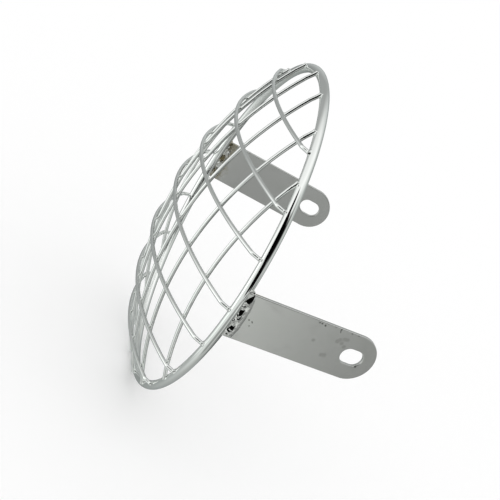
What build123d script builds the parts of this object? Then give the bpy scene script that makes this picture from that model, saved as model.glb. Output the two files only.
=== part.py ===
# Wire guard for a 7 inch motorcycle headlight: a round rod ring, two crossed
# layers of bowed wires over its front, and two slotted straps welded to its back.
# Millimetres. The guard stands as it is fitted: the lamp shines towards -Y, +Z is
# up, and the origin is the centre of the ring. Right is +X, seen from the front.

import os
from math import cos, radians, sin, sqrt, tan

from build123d import *

os.makedirs("parts", exist_ok=True)

# Rim ring
ring_radius = 92.5
rod_diameter = 4.8

# Guard wires: the outer layer runs side to side and lies on the inner, upright layer
wire_diameter = 2.0
dome_radius = 183.0
dome_edge_height = 5.3
wires_per_layer = 7
wire_pitch = 25.0
outer_edge_inset = 20.2
inner_edge_inset = 21.0

# Each wire was welded a little off its even place, and turned a little, in degrees
outer_shifts = (-0.6, 0.0, 0.0, -1.0, 0.4, 0.0, -0.8)
outer_turns = (-0.7, -1.0, 1.2, -0.4, 1.8, 1.2, 0.8)
inner_shifts = (0.0, -1.5, -2.7, -2.9, -1.4, -2.1, 0.6)
inner_turns = (0.0, 1.5, 1.7, 0.5, 0.4, -0.2, 1.4)

# Wire feet: the last stretch of each wire leaves the dome and bends down to the rod
outer_foot_length = 3.8
inner_foot_length = 6.0
foot_reach = 1.1
foot_slope = 9.0
weld_sink = 1.0
wire_end_rounding = 0.45

# Mounting straps
strap_width = 25.0
strap_thickness = 2.0
strap_face_inset = 0.7
strap_toe_in = 7.8
strap_rise = 3.0
strap_setback = 0.8
strap_edge_rounding = 0.4
slot_distance = 64.8
slot_length = 12.0
slot_width = 8.7

# Weld beads between the rod and the straps
bead_lump_radius = 2.3
bead_lump_spacing = 2.6
bead_end_margin = 1.2
bead_back_offset = 1.6
outer_bead_sink = 0.9
inner_bead_sink = 0.6

rod_radius = rod_diameter / 2
wire_radius = wire_diameter / 2
foot_height = rod_radius + wire_radius - weld_sink
foot_radius = ring_radius + foot_reach
dome_centre = dome_edge_height - sqrt(dome_radius**2 - ring_radius**2)
inner_radius = dome_radius - wire_diameter
strap_face_radius = ring_radius + rod_radius - strap_face_inset
bead_row = strap_width - 2 * (bead_end_margin + bead_lump_radius)
bead_lumps = round(bead_row / bead_lump_spacing) + 1
bead_lump_pitch = bead_row / (bead_lumps - 1)

# The front plane: x to the right, y up, z out of the lamp
front = Plane.XZ


def layer_offsets(edge_inset, shifts):
    """Return where the wires of one layer cross its middle, from one edge to the other."""
    edge_offset = ring_radius - edge_inset
    middle = (wires_per_layer - 1) / 2
    inside = [(place - middle) * wire_pitch for place in range(1, wires_per_layer - 1)]
    return [even + shift for even, shift in zip((-edge_offset, *inside, edge_offset), shifts)]


def wire_plane(offset, turn):
    """Return the plane a wire is bent in: x along it, y out to the front, offset to its right."""
    along = Vector(cos(radians(turn)), sin(radians(turn)), 0)
    right = Vector(sin(radians(turn)), -cos(radians(turn)), 0)
    origin = front.from_local_coords(right * offset)
    x_dir = front.from_local_coords(along) - front.origin
    z_dir = front.from_local_coords(right) - front.origin
    return Plane(origin=origin, x_dir=x_dir, z_dir=z_dir)


def dome_at(sphere_radius, plan_radius):
    """Return the height over the ring of a dome with this radius, at a distance from its axis."""
    return dome_centre + sqrt(sphere_radius**2 - plan_radius**2)


def guard_wire(label, offset, turn, sphere_radius, foot_length):
    """Build one wire: an arc over the dome with a bent foot on the rod at each end."""
    foot_half = sqrt(foot_radius**2 - offset**2)
    dome_half = foot_half - foot_length
    edge_height = dome_at(sphere_radius, sqrt(dome_half**2 + offset**2))
    edge_drop = dome_half / (edge_height - dome_centre)
    foot_drop = tan(radians(foot_slope))
    reach = foot_length / 3
    near_dome = (dome_half + reach, edge_height - edge_drop * reach)
    near_foot = (foot_half - reach, foot_height + foot_drop * reach)
    leg = [(dome_half, edge_height), near_dome, near_foot, (foot_half, foot_height)]
    plane = wire_plane(offset, turn)
    with BuildPart() as wire:
        with BuildLine(plane) as path:
            Bezier(*[(-along, height) for along, height in reversed(leg)])
            ThreePointArc((-dome_half, edge_height), (0, dome_at(sphere_radius, offset)), leg[0])
            Bezier(*leg)
        with BuildSketch(Plane(origin=path.line @ 0, x_dir=plane.z_dir, z_dir=path.line % 0)):
            Circle(wire_radius)
        sweep()
        ends = wire.faces().filter_by(GeomType.PLANE)
        fillet(ends.edges(), radius=wire_end_rounding)
    wire.part.label = label
    return wire.part


def strap_plane(side):
    """Return the outer face of a strap: x runs back along it, z points away from the lamp."""
    toe_in = radians(strap_toe_in)
    rise = radians(strap_rise)
    back = Vector(-side * sin(toe_in) * cos(rise), cos(toe_in) * cos(rise), sin(rise))
    outward = Vector(side * cos(toe_in), sin(toe_in), 0)
    return Plane(origin=(side * strap_face_radius, 0, 0), x_dir=back, z_dir=outward)


# Inner layer: upright wires, numbered from the left
inner_wires = []
for number, offset in enumerate(layer_offsets(inner_edge_inset, inner_shifts)):
    label = f"inner_wire_{number + 1}"
    turn = 90 + inner_turns[number]
    inner_wires.append(guard_wire(label, offset, turn, inner_radius, inner_foot_length))

# Outer layer: wires from side to side, numbered from the top
outer_wires = []
for number, offset in enumerate(layer_offsets(outer_edge_inset, outer_shifts)):
    label = f"outer_wire_{number + 1}"
    turn = outer_turns[number]
    outer_wires.append(guard_wire(label, offset, turn, dome_radius, outer_foot_length))

# Rim ring: a rod bent to a circle, with a welded seat under each wire foot
with BuildPart() as rim_ring:
    with BuildSketch(Plane.XY):
        with Locations((ring_radius, 0)):
            Circle(rod_radius)
    revolve(axis=Axis.Y)
    for wire in inner_wires + outer_wires:
        add(wire, mode=Mode.SUBTRACT)
rim_ring.part.label = "rim_ring"

# Straps: flat bar with a full round end and a bolt slot, coped to the back of the rod
straps = []
for name, side in (("right", 1), ("left", -1)):
    face = strap_plane(side)
    with BuildPart() as strap:
        with BuildSketch(face):
            with Locations(((slot_distance + strap_setback) / 2, 0)):
                Rectangle(slot_distance - strap_setback, strap_width)
            with Locations((slot_distance, 0)):
                Circle(strap_width / 2)
                SlotOverall(slot_length, slot_width, mode=Mode.SUBTRACT)
        extrude(amount=-strap_thickness)
        flats = strap.faces().filter_by(Axis(face.origin, face.z_dir))
        fillet(flats.edges(), radius=strap_edge_rounding)
        add(rim_ring.part, mode=Mode.SUBTRACT)
    strap.part.label = f"strap_{name}"
    straps.append(strap.part)

# Weld beads: a row of lumps on each face of each strap, against the back of the rod
beads = []
for strap_part, (name, side) in zip(straps, (("right", 1), ("left", -1))):
    face = strap_plane(side)
    inside = face.offset(-strap_thickness)
    bead_distance = rod_radius + bead_back_offset
    for place, base, sink, kept in (
        ("outer", face, outer_bead_sink, Keep.TOP),
        ("inner", inside, -inner_bead_sink, Keep.BOTTOM),
    ):
        with BuildPart() as bead:
            with Locations(base.offset(-sink)):
                with Locations((bead_distance, 0)):
                    with GridLocations(bead_lump_pitch, bead_lump_pitch, 1, bead_lumps):
                        Sphere(bead_lump_radius)
            split(bisect_by=base, keep=kept)
            add(rim_ring.part, mode=Mode.SUBTRACT)
            add(strap_part, mode=Mode.SUBTRACT)
        bead.part.label = f"weld_{name}_{place}"
        beads.append(bead.part)

for piece in [rim_ring.part, *inner_wires, *outer_wires, *straps, *beads]:
    export_step(piece, f"parts/{piece.label}.step")
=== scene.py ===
# %% [markdown]
# # Wire guard for a motorcycle headlight
#
# This lesson dresses a welded wire guard: a round rod ring, two crossed layers of
# bowed wires and two slotted mounting straps, all under one coat of chrome plate.
# The solids come in already at their real size and place. What is made here is
# their finish, the weld metal between them, and a white studio round them.
# Everything is in metres, and the lamp behind the guard would shine towards -Y.

import bpy
from math import cos, radians, sin, sqrt
from mathutils import Matrix, Vector


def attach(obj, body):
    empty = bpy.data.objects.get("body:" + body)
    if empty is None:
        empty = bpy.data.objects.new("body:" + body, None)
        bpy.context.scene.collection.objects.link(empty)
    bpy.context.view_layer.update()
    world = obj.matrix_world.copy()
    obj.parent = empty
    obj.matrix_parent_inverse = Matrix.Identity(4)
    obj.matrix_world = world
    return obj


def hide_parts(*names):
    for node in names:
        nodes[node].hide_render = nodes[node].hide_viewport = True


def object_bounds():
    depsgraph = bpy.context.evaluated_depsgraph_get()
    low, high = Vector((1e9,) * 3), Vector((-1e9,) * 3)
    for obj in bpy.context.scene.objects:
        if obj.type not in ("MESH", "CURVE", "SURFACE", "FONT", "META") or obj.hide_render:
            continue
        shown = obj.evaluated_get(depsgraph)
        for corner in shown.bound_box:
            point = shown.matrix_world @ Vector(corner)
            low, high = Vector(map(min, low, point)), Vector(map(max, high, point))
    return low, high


MM = 0.001


def in_mm(box):
    """Give the two corners of a box in millimetres, to print them."""
    return [[round(value / MM, 1) for value in corner] for corner in box]


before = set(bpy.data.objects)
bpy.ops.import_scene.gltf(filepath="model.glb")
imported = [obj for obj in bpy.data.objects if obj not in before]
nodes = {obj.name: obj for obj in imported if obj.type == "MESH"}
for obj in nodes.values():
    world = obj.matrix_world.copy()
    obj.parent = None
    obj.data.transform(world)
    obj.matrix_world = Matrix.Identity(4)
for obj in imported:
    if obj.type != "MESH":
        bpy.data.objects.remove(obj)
cad_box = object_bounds()
print("Loaded", len(nodes), "solids, box in mm:", in_mm(cad_box))

# %% [markdown]
# ## Colours and nodes
#
# Every finish here is drawn by nodes, from patterns with a real size. They could be
# added by hand in the shader editor. One small function does it in the script: it
# adds a node, sets it and links it, so each finish below reads from top to bottom.


# %% One function that adds a node
def colour(code):
    """Turn a colour written as #RRGGBB into the linear values that a socket takes."""
    parts = [int(code[place:place + 2], 16) / 255 for place in (1, 3, 5)]
    linear = [part / 12.92 if part <= 0.04045 else ((part + 0.055) / 1.055) ** 2.4
              for part in parts]
    return (*linear, 1.0)


def add_node(tree, kind, inputs=None, stops=(), **settings):
    """Add a node with its settings, its inputs and, on a colour ramp, its stops.

    An input takes a number, a vector, a colour code, the output of another node, or
    another node, whose first output is then linked.
    """
    node = tree.nodes.new("ShaderNode" + kind)
    for name, value in settings.items():
        setattr(node, name, value)
    for name, value in (inputs or {}).items():
        if isinstance(value, bpy.types.Node):
            value = value.outputs[0]
        if isinstance(value, bpy.types.NodeSocket):
            tree.links.new(value, node.inputs[name])
        else:
            node.inputs[name].default_value = colour(value) if isinstance(value, str) else value
    if stops:
        elements = node.color_ramp.elements
        while len(elements) < len(stops):
            elements.new(1.0)
        for element, (place, code) in zip(elements, stops):
            element.position = place
            element.color = colour(code)
    return node


def start_material(name):
    """Start a material, and give it with its tree, which is still empty."""
    material = bpy.data.materials.new(name)
    material.use_nodes = True
    material.node_tree.nodes.clear()
    return material, material.node_tree


print("Nodes can be added")

# %% [markdown]
# ## The chrome on the rod and the wires
#
# The ring and the wires are drawn steel, polished and chrome plated, so nearly all
# that is seen of them is what stands round them. A plain mirror would look like
# glass or a drawing. Real plate has a faint orange peel from the polishing, a haze
# that comes and goes, and a slight drift in its grey. One noise each, at the
# size of the real marks, gives these three, and no picture is needed.

# %% Bright chrome
# A noise seldom leaves the middle of its range, so this band is what gets stretched
NOISE_BAND = {"From Min": 0.3, "From Max": 0.7}


def marks_of(size_mm):
    """Give the scale of a noise whose marks are about this many millimetres across."""
    return 1 / (size_mm * MM)


# Polished chrome plate on drawn rod: nearly a mirror, with a slight haze and orange peel
bright_chrome, tree = start_material("bright_chrome_plate")
place = add_node(tree, "TexCoord").outputs["Object"]
haze = add_node(tree, "TexNoise", {"Vector": place, "Scale": marks_of(7.0), "Detail": 3.0})
hazy = add_node(tree, "MapRange", {"Value": haze, **NOISE_BAND, "To Min": 0.015, "To Max": 0.05})
tint = add_node(tree, "TexNoise", {"Vector": place, "Scale": marks_of(18.0), "Detail": 2.0})
tinted = add_node(tree, "ValToRGB", {"Fac": tint}, ((0.3, "#F8F9F8"), (0.7, "#F2F4F2")))
peel = add_node(tree, "TexNoise", {"Vector": place, "Scale": marks_of(2.2), "Detail": 2.0})
dimples = add_node(tree, "Bump", {"Height": peel, "Strength": 1.0, "Distance": 0.006 * MM})
shader = add_node(tree, "BsdfPrincipled", {"Base Color": tinted, "Metallic": 1.0,
                                           "Roughness": hazy, "Normal": dimples})
add_node(tree, "OutputMaterial", {"Surface": shader})
print("Made", bright_chrome.name, "with", len(tree.nodes), "nodes")

# %% [markdown]
# ## Marks with a place
#
# Some marks are not spread evenly: a weld stains the metal next to it, and a strap
# is scuffed where a spanner slipped. Both can be drawn without a picture. The place
# of a point on the guard is known, so a stain can be kept to one side of the strap,
# and a pit or a darker patch is simply all that lies near one chosen point.

# %% The stain beside a weld
# The middle of a strap's thickness is this far from the middle of the guard at the ring, in
# mm, and comes in by this much for each millimetre that the strap runs back
STRAP_MIDDLE = 93.2
STRAP_LEAN = 0.137

# The stain is full up to this far behind the ring's centre line, and its edge wanders by
# this much either way, both in mm
STAIN_START = 6.0
STAIN_WANDER = 2.5


def weld_stain(tree, place, end_mm):
    """Give 1 on the lamp side of the straps by the ring, fading out by end_mm behind it."""
    axes = add_node(tree, "SeparateXYZ", {"Vector": place})
    aside = add_node(tree, "Math", {0: axes.outputs["X"]}, operation="ABSOLUTE")
    lean = add_node(tree, "Math", {0: axes.outputs["Y"], 1: STRAP_LEAN}, operation="MULTIPLY")
    depth = add_node(tree, "Math", {0: aside, 1: lean}, operation="ADD")
    inside = add_node(tree, "Math", {0: depth, 1: STRAP_MIDDLE * MM}, operation="LESS_THAN")
    ragged = add_node(tree, "TexNoise", {"Vector": place, "Scale": marks_of(4.0),
                                         "Detail": 4.0, "Roughness": 0.7})
    wander = add_node(tree, "MapRange", {"Value": ragged, **NOISE_BAND,
                                         "To Min": -STAIN_WANDER * MM,
                                         "To Max": STAIN_WANDER * MM})
    along = add_node(tree, "Math", {0: axes.outputs["Y"], 1: wander}, operation="ADD")
    near = add_node(tree, "MapRange", {"Value": along, "From Min": STAIN_START * MM,
                                       "From Max": end_mm * MM, "To Min": 1.0, "To Max": 0.0})
    return add_node(tree, "Math", {0: inside, 1: near}, operation="MULTIPLY")


print("Weld stain is full to", STAIN_START, "mm behind the ring")


# %% Small marks at chosen points
def marks_at(tree, place, points):
    """Give 1 in round marks, each an x, y, z and a radius in mm, which fade from half of it."""
    found = None
    for x, y, z, radius in points:
        gap = add_node(tree, "VectorMath", {0: place, 1: (x * MM, y * MM, z * MM)},
                       operation="DISTANCE")
        mark = add_node(tree, "MapRange", {"Value": gap.outputs["Value"],
                                           "From Min": 0.5 * radius * MM,
                                           "From Max": radius * MM,
                                           "To Min": 1.0, "To Max": 0.0})
        if found:
            mark = add_node(tree, "Math", {0: found, 1: mark}, operation="MAXIMUM")
        found = mark
    return found


# Faint darker patches, darkened in the colour only, on the outer face of the right strap, most
# of them in front of its slot
DARK_PATCHES = ((87.0, 52.4, 8.4, 1.6), (86.9, 53.2, 9.6, 1.4), (86.7, 55.1, 10.7, 1.5),
          (86.5, 56.4, 11.0, 1.3), (86.7, 54.9, 8.2, 1.3), (86.4, 57.0, 7.0, 1.3),
          (88.5, 41.5, 3.9, 1.2), (87.2, 51.0, -1.0, 1.6), (87.4, 49.6, -1.4, 1.4))

# Pits in its plate: by the weld, along its upper edge, and one under the slot
PITS = ((93.1, 8.2, 0.2, 0.4), (92.8, 10.0, -0.1, 0.35), (92.8, 10.4, -0.5, 0.3),
        (92.8, 10.0, -2.6, 0.35), (88.9, 38.8, 13.4, 0.45), (88.7, 40.1, 13.5, 0.5),
        (88.4, 42.1, 13.2, 0.55), (87.7, 47.1, 14.6, 0.3), (87.3, 50.4, 14.7, 0.45),
        (87.3, 50.5, 13.9, 0.4), (87.2, 50.9, 13.2, 0.35), (86.5, 56.5, 14.8, 0.4),
        (86.0, 60.1, 15.2, 0.4), (84.8, 68.7, -0.1, 0.7))

# One near-black spot on the outer bead of the same strap: painted shade for a deep hole that the
# shape doesn't have
WELD_PIT_SHADE = ((93.9, 2.7, -10.3, 0.75),)
print("Marks:", len(DARK_PATCHES), "smears,", len(PITS), "pits and", len(WELD_PIT_SHADE), "hole in a weld")

# %% [markdown]
# ## The plate on the straps
#
# The straps are flat bar that was plated without much polishing. They show a soft,
# even grey with faint blotches and a few faint darker patches, a few pin holes in the plate,
# scuffs along the upper edge by the slot, and on the lamp side an olive stain next to the
# weld. A brushed pattern would be wrong here, because the plate has closed over the grinding.

# %% Satin chrome
# A mix node has a set of sockets for each kind of value; the colours are at these places
COLOUR_A, COLOUR_B, MIXED = 6, 7, 2

# Chrome plate on flat bar that was only ground: soft sheen, blotches, pits and weld stain
satin_chrome, tree = start_material("satin_chrome_plate")
place = add_node(tree, "TexCoord").outputs["Object"]
cloud = add_node(tree, "TexNoise", {"Vector": place, "Scale": marks_of(12.0),
                                    "Detail": 4.0, "Roughness": 0.6})
clouded = add_node(tree, "ValToRGB", {"Fac": cloud},
                   ((0.3, "#DDDEDB"), (0.5, "#E0E0DE"), (0.7, "#D9D9D7")))
stain = weld_stain(tree, place, end_mm=9.5)
stained = add_node(tree, "Mix", {0: stain, COLOUR_A: clouded, COLOUR_B: "#C4BEAC"},
                   data_type="RGBA").outputs[MIXED]
# Faint darker patches by the slot, darkened in the colour only, with nothing in the shape to
# cause them
dark_patches = marks_at(tree, place, DARK_PATCHES)
darkened = add_node(tree, "Mix", {0: dark_patches, COLOUR_A: stained, COLOUR_B: "#CBCBC8"},
                   data_type="RGBA").outputs[MIXED]
pits = marks_at(tree, place, PITS)
pitted = add_node(tree, "Mix", {0: pits, COLOUR_A: darkened, COLOUR_B: "#7C7C76"},
                  data_type="RGBA").outputs[MIXED]

# The stain is also duller than clean plate
sheen = add_node(tree, "MapRange", {"Value": cloud, **NOISE_BAND, "To Min": 0.12, "To Max": 0.2})
dull = add_node(tree, "Math", {0: stain, 1: 0.15}, operation="MULTIPLY")
rough = add_node(tree, "Math", {0: sheen, 1: dull}, operation="ADD")

# Grain under the plate, drawn coarser than real grinding so that it can show, and the pits
grain = add_node(tree, "TexNoise", {"Vector": place, "Scale": marks_of(0.9), "Detail": 3.0})
grainy = add_node(tree, "Bump", {"Height": grain, "Strength": 1.0, "Distance": 0.002 * MM})
sunk = add_node(tree, "MapRange", {"Value": pits, "From Min": 0.0, "From Max": 1.0,
                                   "To Min": 1.0, "To Max": 0.0})
holed = add_node(tree, "Bump", {"Height": sunk, "Normal": grainy,
                                "Strength": 1.0, "Distance": 0.1 * MM})
shader = add_node(tree, "BsdfPrincipled", {"Base Color": pitted, "Metallic": 1.0,
                                           "Roughness": rough, "Normal": holed})
add_node(tree, "OutputMaterial", {"Surface": shader})
print("Made", satin_chrome.name, "with", len(tree.nodes), "nodes")

# %% [markdown]
# ## The plated weld metal
#
# Weld metal is plated with the rest, but it was never polished. It is lumpy, bright
# on the crests and dull in the creases, and on the lamp side flux and plating salts
# left an olive brown stain. The crease is found from the shape itself with the
# Pointiness of the mesh, so the stain sits where it would really collect.

# %% Plated weld
# Chrome plate over rough weld beads: bright lumps, stained in the creases
plated_weld, tree = start_material("plated_weld_metal")
place = add_node(tree, "TexCoord").outputs["Object"]
shape = add_node(tree, "NewGeometry")
crease = add_node(tree, "MapRange", {"Value": shape.outputs["Pointiness"],
                                     "From Min": 0.46, "From Max": 0.49,
                                     "To Min": 1.0, "To Max": 0.0})
salts = add_node(tree, "TexNoise", {"Vector": place, "Scale": marks_of(3.0),
                                    "Detail": 4.0, "Roughness": 0.65})
blotch = add_node(tree, "MapRange", {"Value": salts, "From Min": 0.45, "From Max": 0.62,
                                     "To Min": 0.0, "To Max": 1.0})
lamp_side = weld_stain(tree, place, end_mm=30.0)
soiled = add_node(tree, "Math", {0: crease, 1: blotch}, operation="MAXIMUM")
dirt = add_node(tree, "Math", {0: lamp_side, 1: soiled}, operation="MULTIPLY")
dirty = add_node(tree, "Mix", {0: dirt, COLOUR_A: "#ECECEA", COLOUR_B: "#9A8F6E"},
                 data_type="RGBA").outputs[MIXED]
# Painted shade: the darkness of a deep hole, painted near-black into the colour, with no hollow
# in the shape
pit_shade = marks_at(tree, place, WELD_PIT_SHADE)
holed = add_node(tree, "Mix", {0: pit_shade, COLOUR_A: dirty, COLOUR_B: "#0C0C0B"},
                 data_type="RGBA").outputs[MIXED]
rough = add_node(tree, "MapRange", {"Value": dirt, "From Min": 0.0, "From Max": 1.0,
                                    "To Min": 0.06, "To Max": 0.4})
ripple = add_node(tree, "TexNoise", {"Vector": place, "Scale": marks_of(1.6), "Detail": 2.0})
rippled = add_node(tree, "Bump", {"Height": ripple, "Strength": 1.0, "Distance": 0.012 * MM})
shader = add_node(tree, "BsdfPrincipled", {"Base Color": holed, "Metallic": 1.0,
                                           "Roughness": rough, "Normal": rippled})
add_node(tree, "OutputMaterial", {"Surface": shader})
print("Made", plated_weld.name, "with", len(tree.nodes), "nodes")

# %% [markdown]
# ## Finish the solids
#
# The ring, the wires and the straps already have the right shape, so each keeps its
# solid and only gets its finish from above, in its material slot.

# %% Put the finishes on
for name, node in nodes.items():
    finish = bright_chrome
    if name.startswith("strap"):
        finish = satin_chrome
    if name.startswith("weld"):
        finish = plated_weld
    for slot in node.material_slots:
        slot.material = finish
    print(name, "has", finish.name, "on", len(node.data.polygons), "faces")

# %% [markdown]
# ## The weld beads of the straps
#
# A welder ran one bead along each face of each strap, against the back of the rod.
# The arc stopped and started, so the bead is a row of puddles, each of which froze
# leaning on the one before, like roof tiles. A sculptor would push them out of
# clay. Here each puddle is a ball pressed flat and leant over, a remesh melts them
# into one skin, and two sizes of procedural cloud roughen it the same way each time.

# %% Where the straps are
# The outer face of a strap, in mm and degrees, as the solids have it
STRAP_FACE = 94.2
STRAP_THICKNESS = 2.0
STRAP_TOE_IN = 7.8
STRAP_RISE = 3.0


def strap_frame(side):
    """Give the place and turn of a strap's outer face: x back along it, y across, z out."""
    toe_in = radians(STRAP_TOE_IN)
    rise = radians(STRAP_RISE)
    back = Vector((-side * sin(toe_in) * cos(rise), cos(toe_in) * cos(rise), sin(rise)))
    out = Vector((side * cos(toe_in), sin(toe_in), 0))
    turn = Matrix((back, out.cross(back), out)).transposed().to_4x4()
    return Matrix.Translation(Vector((side * STRAP_FACE * MM, 0, 0))) @ turn


print("Straps lean in by", STRAP_TOE_IN, "degrees and rise by", STRAP_RISE)

# %% One puddle of weld metal
# Puddles of each bead in mm and degrees: place across the strap and place along it, half
# width, half length and height, how deep the middle is sunk, and how far the puddle leans
# up the joint and nods to the rod. The first is the long low bed that carries the others.
PUDDLES = ((0.0, 4.5, 12.8, 2.3, 0.6, 0.1, 0, 0),
           (10.2, 2.5, 4.2, 2.6, 0.5, 0.6, 18, 26),
           (7.6, 2.0, 3.6, 2.3, 0.5, 0.5, 19, 27),
           (3.0, 1.9, 4.4, 2.5, 0.5, 0.65, 18, 27),
           (-0.2, 2.4, 3.2, 2.3, 0.5, 0.45, 20, 26),
           (-3.6, 1.5, 1.2, 1.0, 0.8, 0.0, 0, 0),
           (-6.8, 2.0, 3.4, 2.4, 0.5, 0.4, 20, 26),
           (-10.4, 3.4, 2.0, 2.4, 1.2, 0.45, 0, 0))


def deselect():
    """Leave nothing selected, so that the next operator acts only on what it is given."""
    bpy.ops.object.select_all(action="DESELECT")


def puddle(side, face, across, along, half_width, half_length, height, sink, lean, nod):
    """Model one puddle of weld metal: a flattened ball leaning up the joint."""
    deselect()
    bpy.ops.mesh.primitive_uv_sphere_add(segments=32, ring_count=20, radius=MM)
    drop = bpy.context.active_object
    bpy.ops.object.mode_set(mode="EDIT")
    bpy.ops.mesh.select_all(action="SELECT")
    bpy.ops.transform.resize(value=(half_length, half_width, height))
    bpy.ops.object.mode_set(mode="OBJECT")
    level = -sink if face == "outer" else sink - STRAP_THICKNESS
    up_joint = 1 if strap_frame(side).col[1].z > 0 else -1
    outwards = 1 if face == "outer" else -1
    place = Matrix.Translation(Vector((along, across * up_joint, level)) * MM)
    lean_up = Matrix.Rotation(radians(-lean * up_joint * outwards), 4, "X")
    nod_down = Matrix.Rotation(radians(-nod * outwards), 4, "Y")
    drop.matrix_world = strap_frame(side) @ place @ lean_up @ nod_down
    bpy.ops.object.transform_apply(location=True, rotation=True, scale=True)
    return drop


print("Each bead has", len(PUDDLES), "puddles")

# %% Melt the puddles into four rough beads
# The grain of the remesh in mm, and the grey of a cloud at which the skin stays put
BEAD_VOXEL = 0.22
CLOUD_MIDDLE = 0.6

# Two clouds, each with the size of its lumps and how far it pushes the skin, in mm
BEAD_CLOUDS = (("weld_lumps", 3.4, 0.3), ("weld_skin", 1.3, 0.13))
clouds = []
for name, size, push in BEAD_CLOUDS:
    texture = bpy.data.textures.new(name, "CLOUDS")
    texture.noise_scale = size * MM
    clouds.append((texture, push * MM))


def join(pieces):
    """Join some pieces into the first of them, and give that."""
    deselect()
    for piece in pieces:
        piece.select_set(True)
    bpy.context.view_layer.objects.active = pieces[0]
    bpy.ops.object.join()
    return bpy.context.active_object


def weld_bead(side_name, side, face):
    """Melt the puddles of one bead into one rough skin."""
    bead = join([puddle(side, face, *sizes) for sizes in PUDDLES])
    bead.name = f"weld_{side_name}_{face}_rough"
    remesh = bead.modifiers.new("melt", "REMESH")
    remesh.mode = "VOXEL"
    remesh.voxel_size = BEAD_VOXEL * MM
    smooth = bead.modifiers.new("flow", "SMOOTH")
    smooth.factor = 0.5
    smooth.iterations = 3
    for texture, push in clouds:
        rough = bead.modifiers.new("roughen", "DISPLACE")
        rough.texture = texture
        rough.texture_coords = "LOCAL"
        rough.strength = push
        rough.mid_level = CLOUD_MIDDLE
    for modifier in list(bead.modifiers):
        bpy.ops.object.modifier_apply(modifier=modifier.name)
    bpy.ops.object.shade_smooth()
    bead.data.materials.clear()
    bead.data.materials.append(plated_weld)
    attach(bead, "root")
    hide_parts(f"weld_{side_name}_{face}")
    return bead


for side_name, side in (("right", 1), ("left", -1)):
    for face in ("outer", "inner"):
        bead = weld_bead(side_name, side, face)
        print(bead.name, "has", len(bead.data.polygons), "faces")

# %% [markdown]
# ## Where the wires run
#
# The small welds that follow sit on the wires, so their places come from the sizes
# that the wires were built with: each wire lies in a plane at its offset from the
# middle, turned a little, over a dome whose edge is the ring. Reading the places
# from the meshes would also work, but the sizes give them in a few lines.

# %% Lines of the wires
RING_RADIUS = 92.5
DOME_RADIUS = 183.0
DOME_EDGE = 5.3
WIRE = 2.0
DOME_CENTRE = DOME_EDGE - sqrt(DOME_RADIUS**2 - RING_RADIUS**2)

# Each wire's offset from the middle in mm and its turn in degrees, seen from the front
OUTER = ((-72.9, -0.7), (-50.0, -1.0), (-25.0, 1.2), (-1.0, -0.4),
         (25.4, 1.8), (50.0, 1.2), (71.5, 0.8))
INNER = ((-71.5, 90.0), (-51.5, 91.5), (-27.7, 91.7), (-2.9, 90.5),
         (23.6, 90.4), (47.9, 89.8), (72.1, 91.4))


def wire_line(offset, turn):
    """Give a wire's offset, its direction and the direction of its offset."""
    along = Vector((cos(radians(turn)), 0, sin(radians(turn))))
    aside = Vector((sin(radians(turn)), 0, -cos(radians(turn))))
    return offset, along, aside


outer_lines = [wire_line(offset, turn) for offset, turn in OUTER]
inner_lines = [wire_line(offset, turn) for offset, turn in INNER]
print("Wires:", len(outer_lines), "across and", len(inner_lines), "upright")

# %% [markdown]
# ## The welds at the wire feet
#
# Each wire end was pressed onto the hot rod by a spot welder, so it sinks in and
# squeezes out a thin lip of metal on both sides. The lip is modelled once, from a
# ball that is pressed flat and made a little uneven, and a copy goes under each of
# the twenty-eight feet, turned the way its wire lies. The rod hides its lower half.

# %% Model, copy and gather small welds
# Squeezed metal is uneven by about this much, in mm
LIP_UNEVEN = 0.05


def lip(name, length, width, height, seed):
    """Model a lip of squeezed metal: a flattened ball, a little uneven. Sizes are in mm."""
    deselect()
    bpy.ops.mesh.primitive_uv_sphere_add(segments=20, ring_count=12, radius=MM)
    piece = bpy.context.active_object
    piece.name = name
    bpy.ops.object.mode_set(mode="EDIT")
    bpy.ops.mesh.select_all(action="SELECT")
    bpy.ops.transform.resize(value=(length / 2, width / 2, height))
    bpy.ops.transform.vertex_random(offset=LIP_UNEVEN * MM, seed=seed)
    bpy.ops.object.mode_set(mode="OBJECT")
    bpy.ops.object.shade_smooth()
    piece.data.materials.append(bright_chrome)
    return piece


def put_copy(pattern, name, x_way, z_way, centre):
    """Copy a small piece with its own mesh: its length along x_way, its height along z_way."""
    copy = bpy.data.objects.new(name, pattern.data.copy())
    bpy.context.scene.collection.objects.link(copy)
    z_axis = z_way.normalized()
    x_axis = (x_way - z_axis * x_way.dot(z_axis)).normalized()
    turn = Matrix((x_axis, z_axis.cross(x_axis), z_axis)).transposed().to_4x4()
    copy.matrix_world = Matrix.Translation(centre * MM) @ turn
    return copy


def gather(copies, name):
    """Join the copies into one piece at the origin and let it ride with the guard."""
    piece = join(copies)
    piece.name = name
    bpy.ops.object.transform_apply(location=True, rotation=True, scale=True)
    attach(piece, "root")
    return piece


print("Small welds can be copied")

# %% A lip at each foot
# The lips lie this far in front of the middle of the rod, in mm
FOOT_HEIGHT = 1.95

front = Vector((0, -1, 0))
foot_lip = lip("foot_lip", length=3.2, width=3.3, height=0.75, seed=3)
feet = []
for offset, along, aside in outer_lines + inner_lines:
    reach = sqrt(RING_RADIUS**2 - offset**2)
    for way in (-1, 1):
        crest = aside * offset + along * reach * way
        centre = crest + front * FOOT_HEIGHT
        feet.append(put_copy(foot_lip, "foot", along * way, front, centre))
foot_welds = gather(feet, "foot_welds")
bpy.data.objects.remove(foot_lip)
print(foot_welds.name, "has", len(foot_welds.data.polygons), "faces at", len(feet), "feet")

# %% [markdown]
# ## The spot welds at the crossings
#
# Where two wires cross they touch in one point, and the spot welder melts a small
# nugget there. Seen close, it fills the sharp corner between the wires. Again one
# nugget is modelled, and a copy is laid on the dome at each crossing.

# %% A nugget at each crossing
# Wires that cross nearer to the ring than this, in mm, have already left the dome
RING_MARGIN = 8

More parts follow.
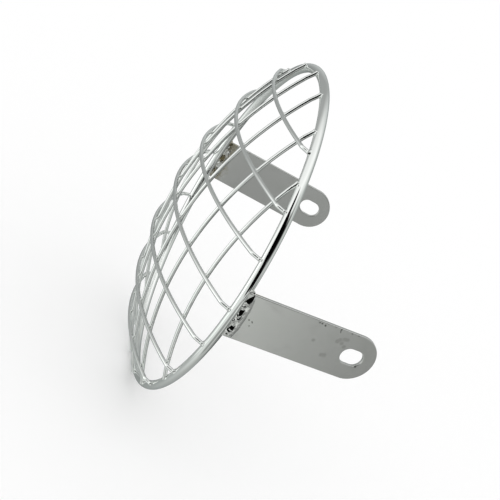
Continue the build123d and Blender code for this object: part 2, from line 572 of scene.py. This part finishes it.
nugget = lip("nugget", length=1.9, width=1.9, height=0.55, seed=5)
spots = []
for outer_offset, outer_along, outer_aside in outer_lines:
    for inner_offset, inner_along, inner_aside in inner_lines:
        gap = inner_aside * inner_offset - outer_aside * outer_offset
        travel = gap.dot(inner_aside) / outer_along.dot(inner_aside)
        crossing = outer_aside * outer_offset + outer_along * travel
        if crossing.length > RING_RADIUS - RING_MARGIN:
            continue
        touch = sqrt((DOME_RADIUS - WIRE / 2) ** 2 - crossing.length_squared)
        outwards = crossing + front * touch
        centre = crossing + front * (DOME_CENTRE + touch)
        spots.append(put_copy(nugget, "spot", outer_along, outwards, centre))
crossing_welds = gather(spots, "crossing_welds")
bpy.data.objects.remove(nugget)
print(crossing_welds.name, "has", len(crossing_welds.data.polygons), "faces at",
      len(spots), "crossings")

# %% [markdown]
# ## The camera
#
# The photograph was taken from beside the guard, a little in front of it and above,
# with the camera or the guard leaning. A 78 mm lens on a 36 mm frame, a little over
# half a metre away, gives the same perspective. The lean is in the camera, so that
# the guard itself stays upright as it is fitted.

# %% Set up the camera
camera_data = bpy.data.cameras.new("photo_camera")
camera_data.lens = 78.40
camera_data.sensor_width = 36
camera_data.clip_start = 0.01
camera = bpy.data.objects.new("photo_camera", camera_data)
camera.location = (0.51587, -0.15013, 0.19689)
camera.rotation_euler = (radians(65.5196), radians(-32.2823), radians(85.3795))
bpy.context.scene.collection.objects.link(camera)
bpy.context.scene.camera = camera
bpy.context.view_layer.update()
lens_right, lens_up, lens_back = [camera.matrix_world.col[place].to_3d() for place in range(3)]
print("Camera", round(camera.location.length, 3), "m from the middle of the ring")

# %% [markdown]
# ## The floor and the light
#
# The guard stands on a white floor in even white light. Lamps would give hard spots
# that the photograph doesn't have, so the world alone lights the scene, at a plain
# strength of one. The floor is hidden from the chrome, which gets a room of its own.

# %% Floor and world
FLOOR_RADIUS = 30

low_z = cad_box[0][2]
deselect()
bpy.ops.mesh.primitive_circle_add(vertices=96, radius=FLOOR_RADIUS, fill_type="NGON",
                                  location=(0, 0, low_z))
floor = bpy.context.active_object
floor.name = "studio_floor"

# Matt white paper: no gloss at all, so that it stays even
white_floor, tree = start_material("white_floor_paper")
shader = add_node(tree, "BsdfPrincipled", {"Base Color": "#FFFFFF", "Roughness": 1.0,
                                           "Specular IOR Level": 0.0})
add_node(tree, "OutputMaterial", {"Surface": shader})
floor.data.materials.append(white_floor)
floor.visible_glossy = False

world = bpy.data.worlds.new("even_white_light")
bpy.context.scene.world = world
world.use_nodes = True
background = world.node_tree.nodes["Background"]
background.inputs["Color"].default_value = colour("#FFFFFF")
background.inputs["Strength"].default_value = 1.0
print("Floor at", round(low_z / MM, 1), "mm")

# %% [markdown]
# ## The tent that the chrome mirrors
#
# Chrome shows mostly what is round it, so the room matters more than the lamps: a
# white tent above and at the sides, and grey paper below and behind. The lens looks
# in through dark gaps in the tent, which draw the black stripes on the rod and the
# wires. Further out are a few grey stands and bright panels. A photograph of a
# room would need an image, so the tent is a ball of plain shades, each at a fixed
# place round the guard, and only mirrors can see it.

# %% Shades of the tent by height and depth
tent_cloth, tree = start_material("tent_cloth")
place = add_node(tree, "TexCoord").outputs["Object"]
direction = add_node(tree, "VectorMath", {0: place}, operation="NORMALIZE")

# Grey paper below, white cloth from the height of the lens upwards
upness = add_node(tree, "VectorMath", {0: direction, 1: lens_up}, operation="DOT_PRODUCT")
height = add_node(tree, "Math", {0: upness.outputs["Value"]}, operation="ARCSINE")
level = add_node(tree, "MapRange", {"Value": height, "From Min": radians(-90),
                                    "From Max": radians(90), "To Min": 0.0, "To Max": 1.0})
layers = add_node(tree, "ValToRGB", {"Fac": level},
                  ((0.0, "#BCBEBC"), (0.167, "#CACCCA"), (0.333, "#DADCDB"),
                   (0.5, "#CED1CF"), (0.667, "#FFFFFF"), (1.0, "#D9DAD9")))

# Darker behind the guard, where the tent ends
nearness = add_node(tree, "VectorMath", {0: direction, 1: lens_back},
                    operation="DOT_PRODUCT")
depth = add_node(tree, "MapRange", {"Value": nearness.outputs["Value"], "From Min": -1.0,
                                    "From Max": 1.0, "To Min": 0.0, "To Max": 1.0})
behind = add_node(tree, "ValToRGB", {"Fac": depth},
                  ((0.0, "#A2A6A5"), (0.2, "#C0C3C2"), (0.4, "#D5D7D6"), (0.6, "#FBFCFB")))
shades = add_node(tree, "Mix", {0: 1.0, COLOUR_A: layers, COLOUR_B: behind},
                  data_type="RGBA", blend_type="MULTIPLY").outputs[MIXED]
print("Shades made with", len(tree.nodes), "nodes")

# %% Dark gaps, grey stands and bright panels
# Each is round, with its bearing and its height seen from the lens, its radius and its
# soft edge in degrees, and its share of the tent's light: under 1 is darker, over 1 brighter
CLOTHS = ((-8.9, 19.4, 22.2, 3, 0.003), (4.8, -8.1, 27.5, 2, 0.003),
          (43.8, -15.1, 19.7, 22, 0.012), (27.7, -39.4, 13.7, 2, 0.014),
          (83, -59.6, 21.5, 11.5, 0.39), (45, -64, 18, 14, 1.3),
          (144.1, -41.6, 13.2, 5, 0.003), (-25, -56, 23.5, 7, 0.5),
          (-170.5, 44.8, 43.4, 18, 0.67), (172.8, 29.1, 13.6, 24, 1.72),
          (73.3, -25.5, 7.9, 14, 0.7), (-58.1, -5.7, 19.9, 2, 1.1),
          (-87.4, 7.8, 21.6, 5.5, 1.6))

# How bright white tent cloth is, where the world is 1
TENT_LIGHT = 1.1

light = None
for bearing, rise, radius, edge, share in CLOTHS:
    flat = cos(radians(rise))
    way = lens_right * sin(radians(bearing)) * flat + lens_up * sin(radians(rise))
    way += lens_back * cos(radians(bearing)) * flat
    near = add_node(tree, "VectorMath", {0: direction, 1: way}, operation="DOT_PRODUCT")
    angle = add_node(tree, "Math", {0: near.outputs["Value"]}, operation="ARCCOSINE")
    cloth = add_node(tree, "MapRange", {"Value": angle,
                                        "From Min": radians(radius - edge / 2),
                                        "From Max": radians(radius + edge / 2),
                                        "To Min": share, "To Max": 1.0})
    if light:
        cloth = add_node(tree, "Math", {0: light, 1: cloth}, operation="MULTIPLY")
    light = cloth
strength = add_node(tree, "Math", {0: light, 1: TENT_LIGHT}, operation="MULTIPLY")
glow = add_node(tree, "Emission", {"Color": shades, "Strength": strength})
add_node(tree, "OutputMaterial", {"Surface": glow})
print("Tent cloth has", len(tree.nodes), "nodes for", len(CLOTHS), "cloths")

# %% Hang the tent where only mirrors see it
TENT_RADIUS = 8

deselect()
bpy.ops.mesh.primitive_uv_sphere_add(segments=64, ring_count=32, radius=TENT_RADIUS)
tent = bpy.context.active_object
tent.name = "studio_tent"
bpy.ops.object.shade_smooth()
tent.data.materials.append(tent_cloth)
tent.visible_camera = False
tent.visible_diffuse = False
tent.visible_transmission = False
tent.visible_shadow = False
tent.visible_volume_scatter = False
print("Tent radius", TENT_RADIUS, "m")

# %% [markdown]
# ## Settings
#
# The Standard view shows a colour as it is written, which a white studio needs.

# %% View
bpy.context.scene.view_settings.view_transform = "Standard"
